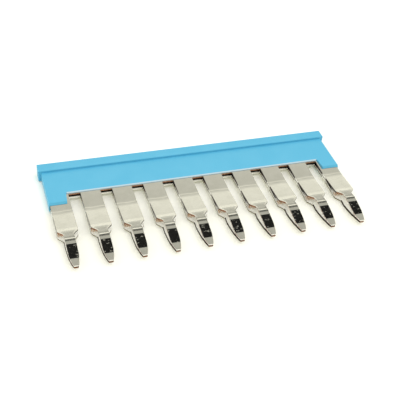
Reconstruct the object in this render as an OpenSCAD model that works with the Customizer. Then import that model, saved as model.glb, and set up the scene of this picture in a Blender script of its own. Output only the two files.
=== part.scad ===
// Terminal block jumper bar: a comb of sprung two-leaf teeth, folded from one sheet, in a moulded body
// X runs along the bar, the teeth point to -Y, and the bar lies flat with +Z up

/* [Layout] */
// Number of teeth
ways = 10; // [2:1:20]
// Distance between the middles of neighbouring teeth
pitch = 5.2; // [4.8:0.1:8]

/* [Sheet] */
// Thickness of the sheet
sheet_t = 0.35; // [0.3:0.01:0.45]
// Inside radius of the shallow bends along a tooth
bend_r = 0.4; // [0.2:0.05:0.6]
// Inside radius of the two bends of the contact step
step_r = 0.1; // [0.05:0.01:0.15]
// Space left between the two leaves where they pinch together
leaf_gap = 0.04; // [0.02:0.01:0.1]

/* [Spine] */
// Height of the folded spine over both leaves
spine_h = 1.1; // [1:0.02:1.3]
// Depth of the spine, from the front slots to the back of the fold
spine_d = 4.8; // [3.5:0.1:6]
// How much further the slots reach into the back leaf
back_slot = 1.8; // [0.5:0.1:2.5]
// Radius in the corners of the slots
slot_r = 0.15; // [0.05:0.05:0.4]

/* [Tooth profile] */
// Length from the root to the line where the leaves pinch together
pinch_len = 3.9; // [3:0.1:5]
// Length from the pinch to the shoulder bend
spread_len = 4.3; // [3.5:0.1:6]
// Length from the shoulder bend to the contact crest
belly_len = 2.4; // [2:0.05:4]
// Length of the small step behind the contact crest
step_len = 0.2; // [0.18:0.01:0.3]
// Length of the narrow band after the step
band_len = 0.7; // [0.5:0.05:1.2]
// Length of the sloping lead-in
lead_len = 2.25; // [1.5:0.05:3]
// Length of the flat tip
tip_len = 1.8; // [0.8:0.05:2.2]
// Height over both leaves at the shoulder bend
shoulder_h = 1.4; // [1.2:0.05:1.6]
// Height over both leaves at the contact crests
contact_h = 2; // [1.9:0.05:2.6]
// Drop of the small step on each leaf
step_drop = 0.07; // [0.02:0.01:0.1]
// Drop of the narrow band on each leaf
band_drop = 0.05; // [0.02:0.01:0.1]

/* [Tooth outline] */
// Width of a tooth above its shoulders
tooth_w = 3.26; // [2.6:0.02:4]
// Width of the neck just below the shoulders
neck_w = 1.56; // [1.4:0.02:2]
// Width of the blade at the contact crest
blade_w = 1.62; // [1.3:0.02:1.9]
// Width of the blade where its flat tip begins
lead_w = 1.58; // [1.2:0.02:1.8]
// Width across the end of the tip
tip_w = 0.72; // [0.5:0.02:1]
// Distance from the shoulder bend to the shoulder corners
shoulder_drop = 0.3; // [0:0.05:0.4]
// Length of the slanted shoulders
shoulder_len = 0.9; // [0.6:0.05:1.2]
// Radius of the shoulder corners
shoulder_r = 0.45; // [0.2:0.05:0.6]
// Radius where the shoulders run into the neck
neck_r = 0.6; // [0.3:0.05:0.8]
// Radius where the neck runs into the blade
blade_r = 4; // [1:0.5:6]
// Radius where the blade starts to narrow towards the tip
lead_r = 2.5; // [0.5:0.1:3]
// Radius of the tip corners
tip_r = 0.15; // [0.05:0.01:0.2]

/* [Body] */
// Clearance all round between the spine and its pocket
fit = 0.02; // [0.01:0.01:0.05]
// Plastic over the front leaf
cover_t = 0.22; // [0.2:0.02:0.5]
// Plastic outside the end teeth
end_wall = 0.14; // [0.1:0.02:0.5]
// Plastic between the pocket and the rail
web_t = 0.86; // [0.4:0.02:1.5]
// Width of the spine that shows below the cover
spine_show = 0.1; // [0.05:0.05:0.3]
// Bevel along the lower edge of the cover
cover_bevel = 0.14; // [0.05:0.01:0.18]
// Rounding of the cover's end edges
end_r = 0.1; // [0.05:0.01:0.15]

/* [Rail] */
// Depth of the rail along the back of the body
rail_d = 1.9; // [1:0.05:3]
// Height of the rail above the cover
rail_rise = 0.4; // [0.1:0.05:0.8]
// Step from the underside of the cover down to the foot of the rail
rail_foot = 0.05; // [0.02:0.01:0.08]
// How far the rail reaches past each end of the cover
rail_over = 0.45; // [0.1:0.05:1]
// Rounding of the rail's upper edges
rail_r = 0.1; // [0.05:0.01:0.2]
// Bevel along the rail's lower edges
rail_bevel = 0.22; // [0.05:0.01:0.3]

/* [Legs] */
// Length of the legs below the cover
leg_len = 2.25; // [1:0.05:2.6]
// Width of a leg where it leaves the cover
leg_w = 3.1; // [2:0.1:3.6]
// How much narrower a leg is at its end
leg_draft = 0.2; // [0:0.05:0.5]
// Bevel across the end of each leg
leg_bevel = 0.3; // [0.1:0.05:0.45]

/* [Hidden] */

// Largest angle that one chord of a rounded corner spans
arc_step = 15;
// Overlap of solids that are joined, and reach of cuts past a face
lap = 0.5;

// Places along a tooth, from its root at y = 0
pinch_y = -pinch_len;
shoulder_y = pinch_y - spread_len;
crest_y = shoulder_y - belly_len;
step_y = crest_y - step_len;
band_y = step_y - band_len;
lead_y = band_y - lead_len;
tip_y = lead_y - tip_len;
corner_y = shoulder_y - shoulder_drop;
neck_y = corner_y - shoulder_len;

// Heights of a leaf's outer face over the plane between the leaves
spine_z = spine_h / 2;
pinch_z = sheet_t + leaf_gap / 2;
shoulder_z = shoulder_h / 2;
crest_z = contact_h / 2;
step_z = crest_z - step_drop;
band_z = step_z - band_drop;

// Strip and its pocket
strip_l = (ways - 1) * pitch + tooth_w;
fold_r = spine_z - sheet_t;
pocket_l = strip_l + 2 * fit;
pocket_y = spine_d + fit;
pocket_z = spine_z + fit;

// Body
cover_l = pocket_l + 2 * end_wall;
cover_y = spine_show;
cover_z = pocket_z + cover_t;
back_y = back_slot + spine_show;
under_z = crest_z - rail_foot;
rail_l = cover_l + 2 * rail_over;
rail_y = pocket_y + web_t;
rail_back_y = rail_y + rail_d;
rail_z = cover_z + rail_rise;
leg_y = cover_y - leg_len;
leg_x = cover_l / 2 - leg_w;

// Middle of the whole bar along Y, and the plane that it rests on
middle_y = (rail_back_y + tip_y) / 2;
rest_z = -crest_z;

function unit(v) = v / norm(v);
function turned(v, a) = [v[0] * cos(a) - v[1] * sin(a), v[0] * sin(a) + v[1] * cos(a)];
function turn(u, v) = atan2(u[0] * v[1] - u[1] * v[0], u * v);
function place(corner) = [corner[0], corner[1]];
function heading(a, b) = unit(place(b) - place(a));
function reversed(list) = [for (i = [len(list) - 1 : -1 : 0]) list[i]];
function mirrored_x(corners) = [for (c = reversed(corners)) [-c[0], c[1], c[2]]];
function mirrored_y(corners) = [for (c = reversed(corners)) [c[0], -c[1], c[2]]];

// Points of one corner [x, y, radius] between its neighbours: an arc, or the corner itself
function corner_points(before, corner, after) =
    let (u = heading(before, corner))
    let (t = turn(u, heading(corner, after)))
    let (r = corner[2])
    let (start = place(corner) - r * tan(abs(t) / 2) * u)
    let (spoke = -sign(t) * r * turned(u, 90))
    let (chords = ceil(abs(t) / arc_step))
    r * abs(t) == 0
        ? [place(corner)]
        : [for (k = [0 : chords]) start - spoke + turned(spoke, t * k / chords)];

// Closed outline with every corner rounded to its own radius
function rounded(corners) =
    let (n = len(corners))
    [for (i = [0 : n - 1]) each corner_points(corners[(i + n - 1) % n], corners[i], corners[(i + 1) % n])];

// Inner face of the sheet at corner i of its outer face, which turns right where the radius grows outwards
function inner_corner(face, i) =
    let (u = heading(face[max(i - 1, 0)], face[max(i, 1)]))
    let (v = heading(face[min(i, len(face) - 2)], face[min(i + 1, len(face) - 1)]))
    let (miter = (turned(u, -90) + turned(v, -90)) / (1 + u * v))
    concat(place(face[i]) + sheet_t * miter, face[i][2] + sheet_t * sign(turn(u, v)));

// Outer face of one leaf from its tip to the fold: [y, z, radius of that face]
leaf_face = [
    [tip_y, pinch_z, 0],
    [lead_y, pinch_z, bend_r],
    [band_y, band_z, bend_r + sheet_t],
    [step_y, step_z, step_r],
    [crest_y, crest_z, step_r + sheet_t],
    [shoulder_y, shoulder_z, bend_r],
    [pinch_y, pinch_z, bend_r],
    [0, spine_z, bend_r + sheet_t],
    [spine_d, spine_z, fold_r + sheet_t],
];
strip_face = concat(leaf_face, mirrored_y(leaf_face));
strip_inside = [for (i = [0 : len(strip_face) - 1]) inner_corner(strip_face, i)];

module along_x(length) rotate([90, 0, 90]) linear_extrude(length, center = true) children();

module along_y(length) rotate([90, 0, 0]) linear_extrude(length, center = true) children();

// Outline of one tooth, from a slot bottom at root_y to its tip
module tooth_outline(root_y) {
    side = [
        [pitch / 2, root_y + lap, 0],
        [pitch / 2, root_y, 0],
        [tooth_w / 2, root_y, slot_r],
        [tooth_w / 2, corner_y, shoulder_r],
        [neck_w / 2, neck_y, neck_r],
        [blade_w / 2, crest_y, blade_r],
        [lead_w / 2, lead_y, lead_r],
        [tip_w / 2, tip_y, tip_r],
    ];
    polygon(rounded(concat(side, mirrored_x(side))));
}

// Outline of one whole leaf: its share of the spine and every tooth
module leaf_outline(root_y) {
    translate([-strip_l / 2 - lap, root_y]) square([strip_l + 2 * lap, spine_d - root_y + lap]);
    for (i = [0 : ways - 1])
        translate([(i - (ways - 1) / 2) * pitch, 0]) tooth_outline(root_y);
}

// Section of the sheet, folded along the spine and formed into two sprung leaves
module strip_section() polygon(rounded(concat(strip_face, reversed(strip_inside))));

module contact_comb() {
    color("silver")
    translate([0, -middle_y, -rest_z])
    intersection() {
        along_x(strip_l) strip_section();
        union() {
            linear_extrude(crest_z + lap) leaf_outline(0);
            translate([0, 0, -crest_z - lap]) linear_extrude(crest_z + lap) leaf_outline(back_slot);
        }
    }
}

// Section of the cover, with a bevel along its lower front edge
module cover_section()
    polygon([
        [cover_y, -under_z],
        [rail_y + lap, -under_z],
        [rail_y + lap, cover_z],
        [cover_y + cover_bevel, cover_z],
        [cover_y, cover_z - cover_bevel],
    ]);

// Section of a leg, bevelled across both sides of its end
module leg_section()
    polygon([
        [leg_y, -under_z + leg_bevel],
        [leg_y + leg_bevel, -under_z],
        [cover_y + lap, -under_z],
        [cover_y + lap, cover_z],
        [leg_y + leg_bevel, cover_z],
        [leg_y, cover_z - leg_bevel],
    ]);

// Outline of one leg, narrower towards its end
module leg_outline()
    polygon([
        [leg_x + leg_draft, leg_y],
        [cover_l / 2, leg_y],
        [cover_l / 2, cover_y + lap],
        [leg_x, cover_y + lap],
        [leg_x, cover_y],
    ]);

module legs()
    intersection() {
        along_x(cover_l) leg_section();
        translate([0, 0, -under_z])
        linear_extrude(under_z + cover_z) {
            leg_outline();
            mirror([1, 0]) leg_outline();
        }
    }

// Cover and legs, with the edges at both ends rounded
module cover()
    intersection() {
        union() {
            along_x(cover_l) cover_section();
            legs();
        }
        along_y(2 * (rail_back_y - leg_y))
            polygon(rounded([
                [-cover_l / 2, -under_z, end_r],
                [cover_l / 2, -under_z, end_r],
                [cover_l / 2, cover_z, end_r],
                [-cover_l / 2, cover_z, end_r],
            ]));
    }

module rail()
    along_x(rail_l)
        polygon(rounded([
            [rail_y + rail_bevel, rest_z, 0],
            [rail_back_y - rail_bevel, rest_z, 0],
            [rail_back_y, rest_z + rail_bevel, 0],
            [rail_back_y, rail_z, rail_r],
            [rail_y, rail_z, rail_r],
            [rail_y, rest_z + rail_bevel, 0],
        ]));

// Pocket for the spine, narrowing below it with the first slope of the leaves
module pocket()
    along_x(pocket_l)
        polygon([
            [pinch_y, -pinch_z - fit],
            [0, -pocket_z],
            [pocket_y, -pocket_z],
            [pocket_y, pocket_z],
            [0, pocket_z],
            [pinch_y, pinch_z + fit],
        ]);

// Room below the cover's back wall, which ends higher up than its front
module back_recess()
    translate([-leg_x, leg_y, -under_z - lap])
        cube([2 * leg_x, back_y - leg_y, under_z + lap]);

module insulating_body() {
    color("skyblue")
    translate([0, -middle_y, -rest_z])
    difference() {
        union() {
            cover();
            rail();
        }
        pocket();
        back_recess();
    }
}

insulating_body();
contact_comb();
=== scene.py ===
# Looks of a terminal block jumper bar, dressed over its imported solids
import math

import bmesh
import bpy
import numpy as np
from mathutils import Matrix, Vector


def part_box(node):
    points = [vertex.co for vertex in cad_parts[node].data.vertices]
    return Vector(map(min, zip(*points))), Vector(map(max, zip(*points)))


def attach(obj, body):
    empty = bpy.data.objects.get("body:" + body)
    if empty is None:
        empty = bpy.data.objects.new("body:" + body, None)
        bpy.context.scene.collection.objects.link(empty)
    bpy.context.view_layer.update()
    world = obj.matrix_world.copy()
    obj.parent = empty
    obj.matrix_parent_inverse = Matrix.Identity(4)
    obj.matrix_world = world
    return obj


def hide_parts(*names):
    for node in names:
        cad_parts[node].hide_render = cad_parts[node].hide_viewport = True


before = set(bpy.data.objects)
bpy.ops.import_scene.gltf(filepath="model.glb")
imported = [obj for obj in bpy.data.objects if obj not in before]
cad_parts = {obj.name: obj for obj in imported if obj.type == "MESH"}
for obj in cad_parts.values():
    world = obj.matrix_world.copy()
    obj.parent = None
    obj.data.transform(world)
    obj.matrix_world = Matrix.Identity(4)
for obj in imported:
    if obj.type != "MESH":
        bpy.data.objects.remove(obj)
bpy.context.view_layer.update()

# Metres in a millimetre: sizes below are in millimetres
MM = 0.001

# Comb: row of teeth and sheet
WAYS = 10
PITCH = 5.2
SHEET = 0.35
SPINE_H = 1.1
SPINE_D = 4.8
BACK_SLOT = 0.06
SLOT_R = 0.15

# Distance to each side over which the lean of the sheet is taken, wide enough to keep inner rows from crossing
LEAN_SPAN = 0.3

# Outer face of one leaf, from the fold to the tip: distance past the root, height over the leaves' plane, radius
PINCH_Z = 0.37
LEAF_FACE = [
    (-SPINE_D, SPINE_H / 2, 0),
    (0, SPINE_H / 2, 0.8),
    (3.9, PINCH_Z, 0.4),
    (8.2, 0.7, 14.0),
    (9.4, 0.845, 70.0),
    (10.32, 0.97, 2.0),
    (10.6, 1.0, 0.3),
    (10.88, 0.905, 0.1),
    (11.5, 0.862, 0.8),
    (14.1, PINCH_Z, 0.8),
    (15.55, 0.29, 0),
]

# Share of the sheet's thickness left at the tip, and the stretch over which it thins
COINED = 0.77
LEAF_LAST = (LEAF_FACE[-2][0], LEAF_FACE[-1][0])

# Side of one tooth below its slot: half width, distance past the root, radius
TOOTH_W = 3.26
TOOTH_SIDE = [
    (1.63, 8.5, 0.45),
    (0.78, 9.4, 0.6),
    (0.81, 10.6, 4.0),
    (0.8, 13.4, 2.0),
    (0.64, 14.55, 2.0),
    (0.36, 15.55, 0.15),
    (0, 15.55, 0),
]

# Sheared edge: radius of its outer and inner corner, and blur where the copper stops
CRISP_R = 0.03
ROLL_R = 0.12
BARE_BLUR = 0.02

# Bare copper on each stretch of the front and the back leaf's edges: share, darker tone (part the copper's own
# colour, part painted shade of the gaps and contact shadows), reach into the sheet
BARE = {
    1: {
        "slot": (0.7, 0.1, SHEET),
        "left": (1, 0.2, SHEET),
        "right": (0.8, 1, 0.2),
        "side": (1, 1, SHEET),
        "blade": (0.5, 0.4, SHEET),
        "tip": (0.42, 0.5, SHEET),
    },
    -1: {
        "slot": (0, 0, 0),
        "left": (1, 0.9, 0.3),
        "right": (1, 1, 0.2),
        "side": (1, 0.9, 0.25),
        "blade": (1, 1, SHEET),
        "tip": (1, 0.5, SHEET),
    },
}

# By distance past the root: wear, plated again near the pinch; painted shade fading from darkest to brown down the
# front leaf's left shoulders, and a painted golden reflection of the copper edges on the inner face above the back
# leaf's left shoulders
PLATED_WITHIN = (0.4, 0.9)
# Painted shade on the front leaf's left shoulder wall: where it is darkest, and where it has faded
SHOULDER_SHADE = (8.4, 8.8)
GOLDEN_REFLECTION = (7.3, 7.8, 8.3, 8.6)

# Looks by distance past the root: pale inner faces from here on, and dents between the ends of the lead-in
PALE_INNER = (6.0, 8.0)
DENTS_START = (11.5, 11.8)
DENTS_STOP = (14.2, 13.9)

# Painted highlight along the cover's front edge, standing for the shine of its chamfer: where it fades out towards
# the rail, and half its length between the legs
HIGHLIGHT_EDGE = (4.27, 4.22)
HIGHLIGHT_EDGE_HALF = 22.0

# Coined line across each leaf where the leaves pinch together
RIDGE_AT = 3.82
RIDGE_H = 0.028
RIDGE_W = {-1: 0.186, 1: 0.3}

# Mesh steps
ARC_STEP = 6
BEND_STEP = 3
ROW_STEP = 0.3
RIDGE_STEP = 0.08
TOOTH_COLUMNS = 6
GAP_COLUMNS = 4

# Strips of studio light along the bar, as the metal mirrors them: tint, then degrees up from behind it and level
WARM = (1, 0.985, 0.84)
STRIPS = [
    (0, 0.05), (26, 0.05), (28, 0.28), (28.8, 0.34), (30.3, 0.43), (31.2, 0.95), (32, 1.3),
    (32.8, 0.95), (33.8, 0.76), (36.5, 0.72), (40, 0.64), (44, 0.6), (47.5, 0.55), (50, 0.45),
    (52, 0.42), (54, 0.46), (56, 0.4), (60, 0.13), (62.4, 0.008), (82, 0.008), (86, 0.75),
    (92, 0.85), (100, 0.7), (115, 0.5), (130, 0.62), (150, 0.45), (165, 0.6), (180, 0.5),
]

# Soft light on matt surfaces: weakest at the front right, strongest at the back left, and its change along X and Y
DOME_WEAK = (0.45, 0.45, 0.44, 1)
DOME_STRONG = (1.25, 1.25, 1.23, 1)
DOME_SLANT = (-0.2, 0.4)

# What the camera sees past the floor
BACKDROP = (1, 0.99, 0.94, 1)

# Key light: place and size in metres, power in watts
KEY_PLACE = (0.22, -0.28, 0.86)
KEY_SIZE = 0.9
KEY_POWER = 3.0

# Camera, millimetres and degrees
CAMERA_PLACE = (-36.98, -90.31, 84.98)
CAMERA_AIM = (-0.69, -0.07, 0)
CAMERA_ROLL = 6.74
CAMERA_LENS = 70.29
SENSOR = 36


# Shader maths: a socket that adds Math nodes when it is used in a sum
class Value:
    def __init__(self, finish, socket):
        self.finish = finish
        self.socket = socket

    def sum(self, operation, *others):
        sockets = dict(enumerate((self,) + others))
        return self.finish.node("ShaderNodeMath", {"operation": operation}, sockets)

    def reflected(self, operation, other):
        return self.finish.node("ShaderNodeMath", {"operation": operation}, {0: other, 1: self})

    def __add__(self, other):
        return self.sum("ADD", other)

    def __radd__(self, other):
        return self.reflected("ADD", other)

    def __sub__(self, other):
        return self.sum("SUBTRACT", other)

    def __rsub__(self, other):
        return self.reflected("SUBTRACT", other)

    def __mul__(self, other):
        return self.sum("MULTIPLY", other)

    def __rmul__(self, other):
        return self.reflected("MULTIPLY", other)

    def __lt__(self, other):
        return self.sum("LESS_THAN", other)


# A node tree under construction: a material's or the world's
class Finish:
    def __init__(self, owner):
        owner.use_nodes = True
        self.tree = owner.node_tree
        self.tree.nodes.clear()

    def node(self, kind, settings=None, sockets=None, output=0):
        made = self.tree.nodes.new(kind)
        for name, setting in (settings or {}).items():
            if name == "stops":
                self.set_stops(made.color_ramp, setting)
            else:
                setattr(made, name, setting)
        for name, value in (sockets or {}).items():
            if isinstance(value, Value):
                self.tree.links.new(value.socket, made.inputs[name])
            else:
                made.inputs[name].default_value = value
        return Value(self, made.outputs[output]) if len(made.outputs) else None

    def set_stops(self, ramp, stops):
        while len(ramp.elements) < len(stops):
            ramp.elements.new(1)
        for element, (place, level) in zip(ramp.elements, stops):
            element.position = place
            element.color = tuple(level * share for share in WARM) + (1,)

    def mix(self, factor, low, high):
        settings = {"data_type": "RGBA"}
        return self.node("ShaderNodeMix", settings, {"Factor": factor, "A": low, "B": high}, "Result")

    def place(self):
        spot = self.node("ShaderNodeTexCoord", output="Object")
        settings = {"operation": "SCALE"}
        return self.node("ShaderNodeVectorMath", settings, {0: spot, "Scale": 1 / MM})

    def level(self, label):
        return self.node("ShaderNodeAttribute", {"attribute_name": label}, output="Fac")

    def noise(self, place, scale, detail=2.0):
        return self.node("ShaderNodeTexNoise", None, {"Vector": place, "Scale": scale, "Detail": detail})

    def smooth(self, value, low, high):
        settings = {"interpolation_type": "SMOOTHSTEP"}
        return self.node("ShaderNodeMapRange", settings, {"Value": value, "From Min": low, "From Max": high})

    def bump(self, height, distance):
        return self.node("ShaderNodeBump", None, {"Height": height, "Distance": distance * MM})

    def split(self, vector, axes):
        return [self.node("ShaderNodeSeparateXYZ", None, {0: vector}, axis) for axis in axes]

    def close(self, shader, kind="ShaderNodeOutputMaterial"):
        self.node(kind, None, {"Surface": shader})


def linear(red, green, blue):
    """Linear colour of an 8-bit one."""
    levels = [channel / 255 for channel in (red, green, blue)]
    return tuple([c / 12.92 if c <= 0.04045 else ((c + 0.055) / 1.055) ** 2.4 for c in levels] + [1])


def blue_plastic():
    material = bpy.data.materials.new("blue_plastic")
    finish = Finish(material)
    place = finish.place()
    cloud = finish.noise(place, 0.2)
    grain = finish.noise(place, 9.0, 3.0)
    blue = finish.mix(finish.smooth(cloud, 0.3, 0.7), linear(92, 189, 224), linear(98, 192, 226))
    x, y = finish.split(place, "XY")
    # Painted highlight: the cover's front edge is mixed towards near-white
    edge = finish.smooth(y, *HIGHLIGHT_EDGE) * (x.sum("ABSOLUTE") < HIGHLIGHT_EDGE_HALF)
    colour = finish.mix(0.75 * edge, blue, linear(232, 244, 248))
    roughness = 0.36 + 0.1 * grain
    shader = finish.node("ShaderNodeBsdfPrincipled", None, {
        "Base Color": colour,
        "Roughness": roughness,
        "IOR": 1.5,
        "Normal": finish.bump(grain, 0.006),
    })
    finish.close(shader)
    return material


def plated_copper():
    material = bpy.data.materials.new("plated_copper")
    finish = Finish(material)
    place = finish.place()
    bare, tone, gold, depth, past = [finish.level(label) for label in ("bare", "dark", "gold", "inner", "past")]
    inner = finish.smooth(depth, 0.9, 1.0) * finish.smooth(past, *PALE_INNER)
    ragged = finish.noise(place, 6.0, 3.0)
    patch = finish.smooth(ragged, 0.35, 0.65)
    copper = finish.smooth(bare + 0.5 * (ragged - 0.5), 0.4, 0.6)
    cloud = finish.noise(place, 0.6)
    grain = finish.noise(place, 14.0, 4.0)
    tin = finish.mix(finish.smooth(cloud, 0.3, 0.7), linear(245, 244, 239), linear(250, 249, 245))
    # Painted reflection: golden patches where the inner face would mirror the copper edges
    copper_reflection_patch = gold * finish.smooth(ragged, 0.36, 0.58)
    cream = finish.mix(inner, tin, finish.mix(copper_reflection_patch, linear(255, 254, 246), linear(196, 150, 98)))
    tan = finish.mix(patch, linear(140, 98, 76), linear(206, 158, 128))
    # Darkest copper: part the bare copper's own colour, part painted shade of the gap between the leaves and the
    # contact shadow under them
    dark = finish.mix(patch, linear(18, 14, 12), linear(64, 42, 32))
    lead = finish.smooth(past, *DENTS_START) * finish.smooth(past, *DENTS_STOP)
    long = finish.node("ShaderNodeVectorMath", {"operation": "MULTIPLY"}, {0: place, 1: (1.0, 2.2, 1.0)})
    dents = lead * finish.smooth(finish.noise(long, 1.6), 0.65, 0.69)
    shader = finish.node("ShaderNodeBsdfPrincipled", None, {
        "Base Color": finish.mix(copper, cream, finish.mix(tone, tan, dark)),
        "Metallic": 1 - inner,
        "Roughness": 0.08 + 0.06 * grain + 0.25 * copper + 0.35 * inner,
        "Normal": finish.bump(0.04 * grain + dents, 0.03),
    })
    finish.close(shader)
    return material


def pale_floor():
    material = bpy.data.materials.new("pale_floor")
    finish = Finish(material)
    matt = finish.node("ShaderNodeBsdfDiffuse", None, {"Color": linear(253, 252, 246)})
    glow = finish.node("ShaderNodeEmission", None, {"Color": linear(255, 255, 215), "Strength": 0.12})
    pale = finish.node("ShaderNodeAddShader", None, {0: matt, 1: glow})
    seen = finish.node("ShaderNodeLightPath", output="Is Camera Ray")
    mirrored = finish.node("ShaderNodeLightPath", output="Is Glossy Ray")
    finish.close(finish.node("ShaderNodeMixShader", None, {0: seen + mirrored, 1: matt, 2: pale}))
    return material


def rounded(corners, step):
    """Points of an open path whose corners (x, y, radius) are rounded in chords of at most a step in degrees."""
    path = [np.array(corners[0][:2], float)]
    for before, corner, after in zip(corners, corners[1:], corners[2:]):
        spot = np.array(corner[:2], float)
        ahead = spot - np.array(before[:2], float)
        ahead /= np.linalg.norm(ahead)
        away = np.array(after[:2], float) - spot
        away /= np.linalg.norm(away)
        turn = math.atan2(ahead[0] * away[1] - ahead[1] * away[0], float(ahead @ away))
        start = spot - corner[2] * math.tan(abs(turn) / 2) * ahead
        spoke = -math.copysign(corner[2], turn) * np.array((-ahead[1], ahead[0]))
        chords = max(1, math.ceil(math.degrees(abs(turn)) / step))
        for angle in np.linspace(0, turn, chords + 1):
            swing = np.array(((math.cos(angle), -math.sin(angle)), (math.sin(angle), math.cos(angle))))
            path.append(start - spoke + swing @ spoke)
    path.append(np.array(corners[-1][:2], float))
    return np.array(path)


def edge_steps(share, tone, reach):
    """Inset, depth, copper and tone of each point round a sheared edge, from the outer face to the inner."""
    flat = SHEET - ROLL_R
    split = min(reach or flat / 2, flat - 2 * BARE_BLUR)
    outside = [(CRISP_R * (1 - math.sin(a)), CRISP_R * (1 - math.cos(a))) for a in np.radians((0, 45, 90))]
    middle = [(0, split - BARE_BLUR), (0, split + BARE_BLUR)]
    turns = np.radians((90, 67.5, 45, 22.5, 0))
    inside = [(ROLL_R * (1 - math.sin(a)), SHEET - ROLL_R * (1 - math.cos(a))) for a in turns]
    levels = [0, 0.5, 1, 1] + ([1, 1, 1, 1, 0.5, 0] if reach == SHEET else [0] * 6)
    return [(*step, share * level, tone) for step, level in zip(outside + middle + inside, levels)]


def even_shading(mesh):
    """Sets each point's normal to its faces' mean by area, so that flat faces shade flat to their edges."""
    normals = np.zeros((len(mesh.vertices), 3))
    for face in mesh.polygons:
        normals[list(face.vertices)] += np.array(face.normal) * face.area
    normals /= np.linalg.norm(normals, axis=1)[:, None]
    mesh.normals_split_custom_set_from_vertices(normals.tolist())


# The folded strip as a mesh: two leaves of ten teeth that share the fold of the spine
class Comb:
    def __init__(self):
        low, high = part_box("contact_comb")
        self.tip_y = low[1] / MM
        self.root_y = self.tip_y + LEAF_FACE[-1][0]
        self.middle_z = (low[2] + high[2]) / 2 / MM
        self.half_l = (WAYS - 1) * PITCH / 2 + TOOTH_W / 2
        self.face = rounded(LEAF_FACE, BEND_STEP)
        self.points = []
        self.levels = {label: [] for label in ("bare", "dark", "gold", "inner", "past")}
        self.faces = []

    def add(self, x, past, depth, side, bare=0, dark=0, fold=None):
        """Adds a point of the sheet at a distance past the root, or round the fold, and returns its number."""
        if fold is None:
            across = np.interp(past, self.face[:, 0], self.face[:, 1])
            around = (past - LEAN_SPAN, past + LEAN_SPAN)
            slope = np.diff(np.interp(around, self.face[:, 0], self.face[:, 1]))[0] / (2 * LEAN_SPAN)
            lean = math.hypot(1, slope)
            depth_here = depth * np.interp(past, LEAF_LAST, (1, COINED))
            height = across - depth_here / lean + self.ridge(x, past)
            past = past + depth_here * slope / lean
        else:
            radius = SPINE_H / 2 - depth
            past = -(SPINE_D - SPINE_H / 2 + radius * math.cos(fold))
            height = radius * math.sin(fold)
        self.points.append((x * MM, (self.root_y - past) * MM, (self.middle_z + side * height) * MM))
        left = (x / PITCH + WAYS / 2) % 1 < 0.5
        # Painted reflection: the golden mirrored copper on the back leaf's inner face, by distance past the root
        gold = np.interp(past, GOLDEN_REFLECTION, (0, 1, 1, 0)) if left and depth == SHEET and side < 0 else 0
        levels = {"bare": bare, "dark": dark, "gold": gold, "inner": depth / SHEET, "past": past}
        for label, level in levels.items():
            self.levels[label].append(level)
        return len(self.points) - 1

    def ridge(self, x, past):
        """Height of the coined line, which wanders a little across the teeth."""
        wander = 0.05 * math.sin(2.3 * x) + 0.03 * math.sin(5.9 * x + 1)
        away = past - RIDGE_AT - wander
        return RIDGE_H * math.exp(-(away / RIDGE_W[1 if away > 0 else -1]) ** 2)

    def edge_chain(self, x, past, normal, side, fold=None):
        """Adds the points round the sheared edge at one place of an outline."""
        chain = []
        worn = np.interp(abs(past - LEAF_FACE[2][0]), PLATED_WITHIN, (0, 1))
        stretch = self.stretch(past, normal)
        # Painted shade: the front leaf's left shoulder wall goes to its darkest tone near its top
        shoulder_shade = np.interp(past, SHOULDER_SHADE, (1, 0)) if side > 0 and stretch == "left" else 0
        for inset, depth, bare, dark in edge_steps(*BARE[side if fold is None else 1][stretch]):
            spot = (x - inset * normal[0], past - inset * normal[1])
            chain.append(self.add(*spot, depth, side, bare * worn, max(dark, shoulder_shade), fold))
        return chain

    def stretch(self, past, normal):
        """Name of the stretch of an outline that a place lies on."""
        if past > TOOTH_SIDE[3][1]:
            return "tip" if normal[1] > 0.5 else "blade"
        if abs(normal[0]) < 0.3:
            return "slot"
        if normal[1] > 0.3:
            return "left" if normal[0] < 0 else "right"
        return "blade" if past > TOOTH_SIDE[1][1] else "side"

    def strip(self, first, second):
        for a, b, c, d in zip(first, first[1:], second[1:], second):
            self.faces.append((a, b, c, d))

    def join(self, one, other):
        for first, second in zip(one, other):
            self.strip(first, second)

    def side_stations(self, root):
        """Half widths, distances past the root and normals down one inner side of a tooth."""
        corners = [(TOOTH_W / 2 + SLOT_R, root, 0), (TOOTH_W / 2, root, SLOT_R)] + TOOTH_SIDE
        side = rounded(corners, ARC_STEP)[1:-1]
        down = np.arange(root, LEAF_FACE[-1][0], ROW_STEP)
        bends = self.face[(self.face[:, 0] > root + 2 * SLOT_R) & (self.face[:, 0] < side[-1, 1]), 0]
        coined = np.arange(RIDGE_AT - 3 * RIDGE_W[-1], RIDGE_AT + 3 * RIDGE_W[1], RIDGE_STEP)
        past = np.unique(np.concatenate((side[:, 1], down, bends, coined)).round(4))
        past = past[np.concatenate(([True], np.diff(past) > 0.004))]
        width = np.interp(past, side[:, 1], side[:, 0])
        along = np.gradient(np.stack((width, past), 1), axis=0)
        normal = np.stack((along[:, 1], -along[:, 0]), 1)
        normal /= np.linalg.norm(normal, axis=1)[:, None]
        normal[0] = (0, 1)
        normal[-1] = (0, 1)
        return width, past, normal

    def row(self, chains, columns, side):
        """Points across the sheet between two edge chains: outer face, inner face and the chains."""
        left, right = chains
        faces = []
        for end, depth in ((0, 0), (-1, SHEET)):
            ends = [np.array(self.points[chain[end]]) / MM for chain in (left, right)]
            middle = []
            for share in np.linspace(0, 1, columns + 1)[1:-1]:
                spot = ends[0] + share * (ends[1] - ends[0])
                middle.append(self.add(spot[0], self.root_y - spot[1], depth, side))
            faces.append([left[end]] + middle + [right[end]])
        return faces

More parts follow.
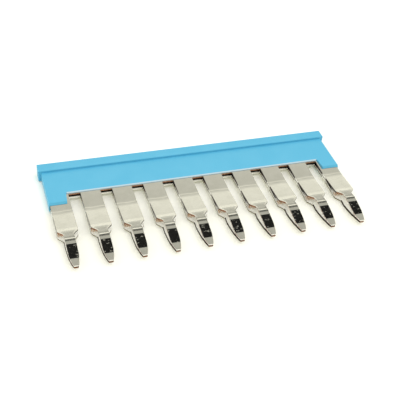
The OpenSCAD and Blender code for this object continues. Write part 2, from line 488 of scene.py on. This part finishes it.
    def tooth(self, number, side, root):
        """Adds one tooth and returns its first row, which the spine carries on."""
        middle = (number - (WAYS - 1) / 2) * PITCH
        width, past, normal = self.side_stations(root)
        last = len(past) - 1
        rows = []
        for i in range(len(past)):
            chains = []
            for hand, open_side in ((-1, number > 0), (1, number < WAYS - 1)):
                plain = not open_side and past[i] < root + 2 * SLOT_R
                half = TOOTH_W / 2 if plain else width[i]
                out = (1, 0) if plain else normal[i]
                chains.append(self.edge_chain(middle + hand * half, past[i], (hand * out[0], out[1]), side))
            if i < last:
                outer, inner = self.row(chains, TOOTH_COLUMNS, side)
            else:
                across = self.tip_chains(chains, past[i], side)
                outer = [chain[0] for chain in across]
                inner = [chain[-1] for chain in across]
            rows.append((outer, inner, chains[0], chains[1]))
        for one, other in zip(rows, rows[1:]):
            self.join(one, other)
        return rows[0]

    def tip_chains(self, chains, past, side):
        """Adds the sheared end of a tooth between its two corner chains."""
        ends = [self.points[chain[0]][0] / MM for chain in chains]
        across = [chains[0]]
        for x in np.linspace(*ends, TOOTH_COLUMNS + 1)[1:-1]:
            across.append(self.edge_chain(x, past, (0, 1), side))
        across.append(chains[1])
        for one, other in zip(across, across[1:]):
            self.strip(one, other)
        return across

    def leaf(self, side, root):
        """Adds one leaf: its teeth, the bottoms of its slots and its half of the spine."""
        outer, inner = [], []
        firsts = [self.tooth(number, side, root) for number in range(WAYS)]
        for number, first in enumerate(firsts):
            outer += first[0]
            inner += first[1]
            if number < WAYS - 1:
                start = self.points[first[3][0]][0] / MM
                stop = self.points[firsts[number + 1][2][0]][0] / MM
                bottom = [first[3]]
                for x in np.linspace(start, stop, GAP_COLUMNS + 1)[1:-1]:
                    bottom.append(self.edge_chain(x, root, (0, 1), side))
                bottom.append(firsts[number + 1][2])
                for one, other in zip(bottom, bottom[1:]):
                    self.strip(one, other)
                outer += [chain[0] for chain in bottom[1:-1]]
                inner += [chain[-1] for chain in bottom[1:-1]]
        columns = [self.points[i][0] / MM for i in outer]
        row = (outer, inner, firsts[0][2], firsts[-1][3])
        flat = SPINE_D - SPINE_H / 2
        steps = [(-past, None) for past in np.linspace(-root, flat, 9)[1:]]
        steps += [(-flat, angle) for angle in np.radians(np.arange(75, -1, -15))]
        for past, fold in steps:
            left = self.edge_chain(-self.half_l, past, (-1, 0), side, fold)
            right = self.edge_chain(self.half_l, past, (1, 0), side, fold)
            across = []
            for end, depth in ((0, 0), (-1, SHEET)):
                inside = [self.add(x, past, depth, side, fold=fold) for x in columns[1:-1]]
                across.append([left[end]] + inside + [right[end]])
            following = (across[0], across[1], left, right)
            self.join(row, following)
            row = following

    def build(self, name):
        self.leaf(1, 0)
        self.leaf(-1, -BACK_SLOT)
        mesh = bpy.data.meshes.new(name)
        mesh.from_pydata(self.points, [], self.faces)
        for label, levels in self.levels.items():
            mesh.attributes.new(label, "FLOAT", "POINT").data.foreach_set("value", levels)
        shape = bmesh.new()
        shape.from_mesh(mesh)
        bmesh.ops.remove_doubles(shape, verts=shape.verts, dist=1e-4 * MM)
        bmesh.ops.recalc_face_normals(shape, faces=shape.faces)
        for face in shape.faces:
            face.smooth = True
        shape.to_mesh(mesh)
        shape.free()
        even_shading(mesh)
        piece = bpy.data.objects.new(name, mesh)
        bpy.context.collection.objects.link(piece)
        return piece


def dress_body(material):
    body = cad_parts["insulating_body"]
    body.data.materials.clear()
    body.data.materials.append(material)
    weld = body.modifiers.new("weld", "WELD")
    weld.merge_threshold = 1e-4 * MM
    bevel = body.modifiers.new("soft_edges", "BEVEL")
    bevel.width = 0.06 * MM
    bevel.segments = 3
    bevel.limit_method = "ANGLE"
    bevel.angle_limit = math.radians(25)
    bevel.harden_normals = True


def add_camera():
    camera = bpy.data.objects.new("camera", bpy.data.cameras.new("camera"))
    bpy.context.collection.objects.link(camera)
    camera.data.sensor_width = SENSOR
    camera.data.lens = CAMERA_LENS
    camera.data.clip_start = 0.001
    place = Vector(CAMERA_PLACE) * MM
    look = (Vector(CAMERA_AIM) * MM - place).to_track_quat("-Z", "Y").to_matrix().to_4x4()
    camera.matrix_world = Matrix.Translation(place) @ look @ Matrix.Rotation(math.radians(CAMERA_ROLL), 4, "Z")
    bpy.context.scene.camera = camera


def add_floor():
    bpy.ops.mesh.primitive_circle_add(vertices=96, radius=4, fill_type="NGON", location=(0, 0, 0))
    floor = bpy.context.object
    floor.name = "floor"
    floor.data.materials.append(pale_floor())


def add_world():
    world = bpy.data.worlds.new("studio")
    bpy.context.scene.world = world
    finish = Finish(world)
    way = finish.node("ShaderNodeTexCoord", output="Generated")
    right, back, rise = finish.split(way, "XYZ")
    stops = [(angle / 180, level) for angle, level in STRIPS]
    angle = rise.sum("ABSOLUTE").sum("ARCTAN2", back) * (1 / math.pi)
    strips = finish.node("ShaderNodeValToRGB", {"stops": stops}, {"Fac": angle})
    mirrored = finish.node("ShaderNodeLightPath", output="Is Glossy Ray")
    shown = finish.node("ShaderNodeLightPath", output="Is Camera Ray")
    soft = finish.mix(0.5 + DOME_SLANT[1] * back + DOME_SLANT[0] * right, DOME_WEAK, DOME_STRONG)
    colour = finish.mix(shown, finish.mix(mirrored, soft, strips), BACKDROP)
    background = finish.node("ShaderNodeBackground", None, {"Color": colour})
    finish.close(background, "ShaderNodeOutputWorld")


def add_key_light():
    lamp = bpy.data.lights.new("key", "AREA")
    lamp.shape = "DISK"
    lamp.size = KEY_SIZE
    lamp.energy = KEY_POWER
    light = bpy.data.objects.new("key", lamp)
    bpy.context.collection.objects.link(light)
    light.location = KEY_PLACE
    light.rotation_euler = (-Vector(KEY_PLACE)).to_track_quat("-Z", "Y").to_euler()
    light.visible_glossy = False


dress_body(blue_plastic())

comb = Comb().build("plated_comb")
comb.data.materials.append(plated_copper())
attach(comb, "root")
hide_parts("contact_comb")

add_camera()
add_floor()
add_world()
add_key_light()
bpy.context.scene.view_settings.view_transform = "Standard"
